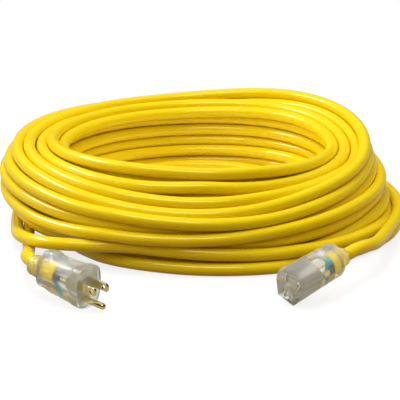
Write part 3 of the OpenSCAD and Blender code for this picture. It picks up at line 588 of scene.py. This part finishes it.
plug = dict(
    sides=72, per=4, gripHalf=5.6,
    # place, half width, low, high, squareness; from the heel to the rim, into the cup and to its middle
    body=((-42.5, 9.2, -11.2, 9.4, 3.4), (-42.3, 10.1, -12.1, 10.3, 3.4), (-41.4, 10.5, -12.6, 10.9, 3.4),
          (-36.8, 10.9, -13.0, 12.7, 3.2), (-34.6, 11.1, -13.4, 13.4, 2.9), (-31.5, 11.7, -14.6, 14.0, 2.5),
          (-28.5, 12.05, -15.3, 14.4, 2.4), (-14, 12.4, -15.9, 14.6, 2.5), (-6.5, 12.7, -16.1, 15.0, 2.8),
          (-4.5, 12.8, -16.25, 15.6, 3.1), (1.6, 12.8, -16.3, 15.9, 3.2), (2.35, 12.6, -16.1, 15.7, 3.2),
          (2.5, 12.2, -15.7, 15.3, 3.2), (2.35, 11.5, -15.0, 14.6, 3.0), (1.9, 11.2, -14.7, 14.3, 3.0),
          (0.5, 11.0, -14.5, 14.1, 2.8), (0.05, 10.6, -14.1, 13.7, 2.8), (0, 9.8, -13.2, 12.9, 2.6),
          (0, 4, -5.5, 5.3, 2.2)),
    # the finger grip: place, rise
    grip=((-42.6, 0), (-42.1, 2.6), (-41.2, 4.3), (-39.5, 4.3), (-36, 3.7), (-33, 3.6), (-31, 3.3),
          (-29.6, 2.6), (-28, 1.5), (-26.3, 0.5), (-24.5, 0)),
    # the collar: place, radius
    collar=((-41.8, 6.4), (-41.8, 8.4), (-42.8, 8.6), (-44.6, 8.6), (-45.2, 8.1), (-46.2, 8.1), (-46.8, 8.5),
            (-49.2, 8.4), (-49.8, 7.9), (-50.8, 7.9), (-51.4, 8.2), (-54.2, 8.0), (-55.5, 7.4), (-56, 6.6),
            (-56, 4.6)),
    collarZ=-0.8, jacketShow=-27.0, wiresFrom=-30.0, crimpFrom=-17.0,
    bladeY=6.35, bladeZ=1.5, bladeBack=-11.0, bladeTip=16.4, bladeH=6.35, bladeT=1.52, bevel=1.6, bladeStep=0.7,
    edgeIn=0.28, edgeDown=0.22, holeR=1.6, holeIn=4.4, lipOut=0.25, lipDown=0.2,
    # the ground pin: place, radius
    pin=((-11, 1.2), (-11, 2.1), (-0.2, 2.1), (-0.2, 2.38), (17.4, 2.38), (18.4, 2.15), (19.25, 1.5),
         (19.7, 0.75), (19.8, 0.15)),
    pinZ=-10.4,
)


def plugRings():
    # the oval body with the finger grip raised along the middle of its top
    rings = ovalRings(plug["body"], plug["per"], plug["sides"])
    x, y, z = np.moveaxis(rings, -1, 0)
    place, lift = np.array(plug["grip"], float).T
    rings[..., 2] += np.interp(x, place, lift) * np.exp(-(y / plug["gripHalf"]) ** 4) * (z > 0)
    return rings


def bladeRings(side):
    # a flat blade with a hole: outline points paired with points of the hole, carried round the thickness
    half, thick = plug["bladeH"] / 2, plug["bladeT"] / 2
    low, high = plug["bladeZ"] - half, plug["bladeZ"] + half
    tip, root, bevel = plug["bladeTip"], plug["bladeBack"], plug["bevel"]
    corners = np.array([(root, low), (tip - bevel, low), (tip, low + bevel),
                        (tip, high - bevel), (tip - bevel, high), (root, high)])
    ends = np.roll(corners, -1, 0)
    counts = np.maximum(2, np.round(np.linalg.norm(ends - corners, axis=1) / plug["bladeStep"])).astype(int)
    sections = zip(corners, ends, counts)
    outline = np.concatenate([c + (e - c) * (np.arange(k) / k)[:, None] for c, e, k in sections])
    middle = np.array((tip - plug["holeIn"], plug["bladeZ"]))
    away = outline - middle
    reach = np.linalg.norm(away, axis=1)[:, None]
    inset = middle + away * (1 - plug["edgeIn"] / reach)
    hole = middle + away / reach * plug["holeR"]
    lip = middle + away / reach * (plug["holeR"] + plug["lipOut"])
    edge, deep = thick - plug["edgeDown"], thick - plug["lipDown"]
    rows = ((lip, thick), (inset, thick), (outline, edge), (outline, -edge),
            (inset, -thick), (lip, -thick), (hole, -deep), (hole, deep))
    y = side * plug["bladeY"]
    return np.stack([np.stack((p[:, 0], np.full(len(p), y + off), p[:, 1]), 1) for p, off in rows])


collarRings = lathe(plug["collar"], per=3, sides=48, at=(0, plug["collarZ"]))
pinRings = lathe(plug["pin"], per=2, sides=40, at=(0, plug["pinZ"]))
plugSeats = dict(hot=(-plug["bladeY"], plug["bladeZ"]), neutral=(plug["bladeY"], plug["bladeZ"]),
                 ground=(0, plug["pinZ"]))
plugPieces = [
    endPiece("plugMoulding", plugRings(), plugPlace, smokyVinyl, "clear_vinyl", "plug_body", sharp=38),
    endPiece("plugCollar", collarRings, plugPlace, smokyVinyl, "clear_vinyl", "plug_collar", sharp=50),
    jacketEnd("plugJacketEnd", plugPlace, plug["jacketShow"], layout["plugLen"], "plug_jacket_end"),
    endPiece("hotBlade", bladeRings(-1), plugPlace, brass, "brass", "hot_blade", sharp=20, closed=True),
    endPiece("neutralBlade", bladeRings(1), plugPlace, brass, "brass", "neutral_blade", sharp=20, closed=True),
    endPiece("groundPin", pinRings, plugPlace, brass, "brass", "ground_pin", sharp=40),
]
plugPieces += layWires("plug", plugPlace, plug["wiresFrom"], plug["crimpFrom"], plugSeats)
plugPieces += [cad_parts[name] for name in (
    "prong_carrier", "plug_hot_crimp", "plug_neutral_crimp", "plug_ground_crimp")]
print("plug made")

connector = dict(
    lift=0.8, arc=49, side=9, base=13, per=4, corner=0.55, cornerLean=0.2, arcSpan=(-22, 202), squareness=2.25,
    # place, half width, top, half base, base, roundness, inset
    body=((0, 13.1, 13.9, 8.0, -14.6, 0, 1.1), (-0.2, 13.1, 13.9, 8.0, -14.6, 0, 0.4),
          (-0.9, 13.1, 13.9, 8.0, -14.6, 0, 0), (-13, 13.05, 13.9, 7.4, -14.3, 0, 0),
          (-26, 13.0, 13.9, 6.8, -13.9, 0, 0), (-36, 12.8, 14.3, 6.6, -13.3, 0.4, 0),
          (-44, 12.5, 15.1, 6.5, -12.4, 0.8, 0), (-48.4, 12.3, 15.6, 6.5, -11.8, 1, 0),
          (-48.9, 12.3, 15.5, 6.5, -11.8, 1, 0.25), (-49.1, 12.2, 15.2, 6.5, -11.8, 1, 0.9),
          (-49.1, 12.2, 14, 6.5, -11.8, 1, 5)),
    # roundness draws the lower half in to this radius, fading over this height; insets are for this reach
    endR=12.4, roundFrom=0.4, roundOver=10, insetOver=13, sharp=32,
    # the collar: place, radius
    collar=((-48.9, 6.6), (-48.9, 8.4), (-49.5, 8.4), (-51.6, 8.1), (-52.2, 7.5), (-53.4, 7.5), (-54, 7.9),
            (-57.5, 7.8), (-60.2, 7.4), (-61.8, 6.7), (-62.5, 5.8), (-62.5, 4.6)),
    # cutters for the slots, then for the rooms behind: low and high corner
    rooms=(((-4, 5.35, -1.5), (2, 7.35, 5.5)), ((-4, -7.35, -2.1), (2, -5.35, 6.1)),
           ((-23, 3.9, -1.6), (-3.4, 8.8, 5.6)), ((-23, -8.8, -1.6), (-3.4, -3.9, 5.6)),
           ((-23, -3.95, -12.35), (-3.4, 3.95, -7.45))),
    holeR=2.65, holeZ=-9.9, holeSpan=(-4, 2), holeSides=32,
    jacketFrom=-42.1, crimpFrom=-33.1, groundSeat=-6.8, slotY=6.35, slotZ=2.0,
)


def connectorRings():
    # a round back on straight sides that lean in to a flat base; towards the cord its base turns round
    x, wide, top, foot, low, rounded, inset = easeTable(connector["body"], connector["per"]).T[:, :, None]
    lift, cut, power = connector["lift"], connector["corner"], connector["squareness"]
    a = np.radians(np.linspace(*connector["arcSpan"], connector["arc"]))[None]
    arcY, arcZ = wide * squared(np.cos(a), power), lift + (top - lift) * squared(np.sin(a), power)
    t = np.linspace(0, 1, connector["side"])[None, :-1]
    lean = cut * connector["cornerLean"]
    sideY = foot + lean + (arcY[:, :1] - foot - lean) * t
    sideZ = low + cut + (arcZ[:, :1] - low - cut) * t
    u = np.linspace(-1, 1, connector["base"])[None]
    baseY, baseZ = (foot - cut) * u, low + 0 * u
    y = np.concatenate((sideY, arcY, -sideY[:, ::-1], baseY), 1)
    z = np.concatenate((sideZ, arcZ, sideZ[:, ::-1], baseZ), 1) - lift
    reach = np.sqrt(y * y + z * z)
    rounded = rounded * easeStep(connector["roundFrom"] - z / connector["roundOver"])
    beyond = (reach > connector["endR"]) * (1 - connector["endR"] / reach)
    grow = (1 - rounded * beyond) * (1 - inset / connector["insetOver"])
    return np.stack(np.broadcast_arrays(x, y * grow, z * grow + lift), -1)


def cutRooms(piece):
    # slots, hole and contact rooms, cut with plain blocks that are thrown away
    blocks = []
    for low, high in connector["rooms"]:
        low, high = np.array(low, float), np.array(high, float)
        corner = np.array([(0, 0), (1, 0), (1, 1), (0, 1)])[None] * (high - low)[1:] + low[1:]
        x = np.array((low[0], high[0]))[:, None]
        blocks.append(np.stack(np.broadcast_arrays(x, corner[..., 0], corner[..., 1]), -1))
    hole = [(x, connector["holeR"]) for x in connector["holeSpan"]]
    blocks.append(lathe(hole, per=1, sides=connector["holeSides"], at=(0, connector["holeZ"])))
    for rings in blocks:
        tool = gridPiece("cutter", carry(rings, connectorPlace))
        cut = piece.modifiers.new("cut", "BOOLEAN")
        cut.operation, cut.solver, cut.object = "DIFFERENCE", "EXACT", tool
        with bpy.context.temp_override(object=piece, active_object=piece):
            bpy.ops.object.modifier_apply(modifier="cut")
        bpy.data.objects.remove(tool)
    piece.data.set_sharp_from_angle(angle=np.radians(connector["sharp"]))


shell = gridPiece("connectorMoulding", carry(connectorRings(), connectorPlace), sharp=connector["sharp"])
cutRooms(shell)
settlePiece(shell, clearVinyl, "clear_vinyl", "connector_body")
endPiece("connectorCollar", lathe(connector["collar"], per=3, sides=48), connectorPlace, clearVinyl,
         "clear_vinyl", "connector_collar", sharp=50)
jacketEnd("connectorJacketEnd", connectorPlace, connector["jacketFrom"], layout["connectorLen"],
          "connector_jacket_end")
connectorSeats = dict(hot=(connector["slotY"], connector["slotZ"]),
                      neutral=(-connector["slotY"], connector["slotZ"]), ground=(0, connector["groundSeat"]))
layWires("connector", connectorPlace, connector["jacketFrom"], connector["crimpFrom"], connectorSeats)
print("connector made")

# floor, light and white surround, in metres
stageSet = dict(
    half=6.0, drop=0.0002,
    # what the floor throws back inside the coil and outside it, and the ring where that changes
    within=(0.95, 0.95, 0.95), outside=(0.22, 0.12, 0.02), ring=(0.10, 0.14),
    # what is seen of the floor: its tone, how white it is nearby, where it turns plain white, and in mirrors
    tone=(0.95, 0.95, 0.95), clear=0.80, far=(0.3, 0.7), mirrored=0.45,
    # the surround as light: its bright side, the span of its rise, strengths, low colour, share in gloss
    axis=(-0.3, 0.3, 0.9), rise=(-0.35, 0.8), low=0.04, high=1.2, warm=(1.0, 0.8, 0.45), gloss=0.06,
)
floorMesh = bpy.data.meshes.new("floor")
half = stageSet["half"]
floorCorners = [(-half, -half, 0), (half, -half, 0), (half, half, 0), (-half, half, 0)]
floorMesh.from_pydata(floorCorners, [], [(0, 1, 2, 3)])
floor = bpy.data.objects.new("floor", floorMesh)
floor.location.z = -stageSet["drop"]
scene.collection.objects.link(floor)


def makeFloor():
    # pale matt floor, seen as nearly white with the shadow left in; further off it is plain white
    made, tree, shader = newFinish("paleFloor", {"Roughness": 0.7, "Specular IOR Level": 0.1})
    seen, shiny, through = rayKinds(tree)
    spot = objectSpot(tree)
    middle = (*(v / 1000 for v in layout["coilAt"]), 0)
    outward = mapSpan(tree, vectorMath(tree, "DISTANCE", spot, middle), stageSet["ring"])
    bounce = blendTones(tree, outward, stageSet["within"], stageSet["outside"])
    feed(tree, shader, Base_Color=blendTones(tree, seen + through, bounce, stageSet["tone"]))
    white = node(tree, "ShaderNodeEmission", {}, {"Color": (1, 1, 1, 1), "Strength": 1.0})
    drawn = mapSpan(tree, vectorMath(tree, "LENGTH", spot), stageSet["far"], stageSet["clear"], "SMOOTHSTEP")
    amount = drawn * (seen + stageSet["mirrored"] * shiny + through)
    part = node(tree, "ShaderNodeMixShader", {}, {0: amount, 1: Wire(tree, shader.outputs[0]), 2: white})
    tree.links.new(part.socket, tree.nodes["Material Output"].inputs["Surface"])
    return made


floorMesh.materials.append(makeFloor())


def makeSurround():
    # white to look at; as light it is strong overhead and weak low down in front
    made = bpy.data.worlds.new("surround")
    made.use_nodes = True
    tree = made.node_tree
    seen, shiny, through = rayKinds(tree)
    facing = node(tree, "ShaderNodeTexCoord", {}, {}, "Generated")
    upward = vectorMath(tree, "DOT_PRODUCT", facing, stageSet["axis"])
    glow = mapSpan(tree, upward, stageSet["rise"], ease="SMOOTHSTEP")
    plain = seen + through
    strength = stageSet["low"] + (stageSet["high"] - stageSet["low"]) * glow
    tone = blendTones(tree, plain + (1 - plain) * glow, stageSet["warm"], (1, 1, 1))
    feed(tree, tree.nodes["Background"], Color=tone,
         Strength=plain + (1 - plain) * strength * (1 - (1 - stageSet["gloss"]) * shiny))
    return made


scene.world = makeSurround()


def softbox(name, at, aim, size, power, matt=False, shine=False):
    # a lamp in watts that lights matt surfaces or shows in shiny ones
    made = bpy.data.lights.new(name, "AREA")
    made.shape, made.size, made.size_y, made.energy = "RECTANGLE", size[0], size[1], power
    lamp = bpy.data.objects.new(name, made)
    scene.collection.objects.link(lamp)
    lamp.location = at
    lamp.rotation_mode = "QUATERNION"
    lamp.rotation_quaternion = (Vector(aim) - Vector(at)).to_track_quat("-Z", "Y")
    lamp.visible_diffuse, lamp.visible_glossy = matt, shine


middle = (0, 0, 0.03)
softbox("overhead", at=(-0.2, 0.0, 1.5), aim=(0, 0.04, 0), size=(1.0, 0.6), power=10.5, matt=True)
softbox("gloss", at=(-0.3, -0.85, 1.35), aim=middle, size=(1.3, 0.36), power=13, shine=True)
softbox("leftFill", at=(-1.3, 0.1, 0.55), aim=middle, size=(0.9, 0.9), power=6, matt=True)
softbox("rightFill", at=(1.3, 0.2, 0.7), aim=middle, size=(0.9, 0.9), power=4, matt=True)
softbox("left", at=(-1.25, 0.35, 1.2), aim=middle, size=(0.9, 0.2), power=16, shine=True)
print("light placed")
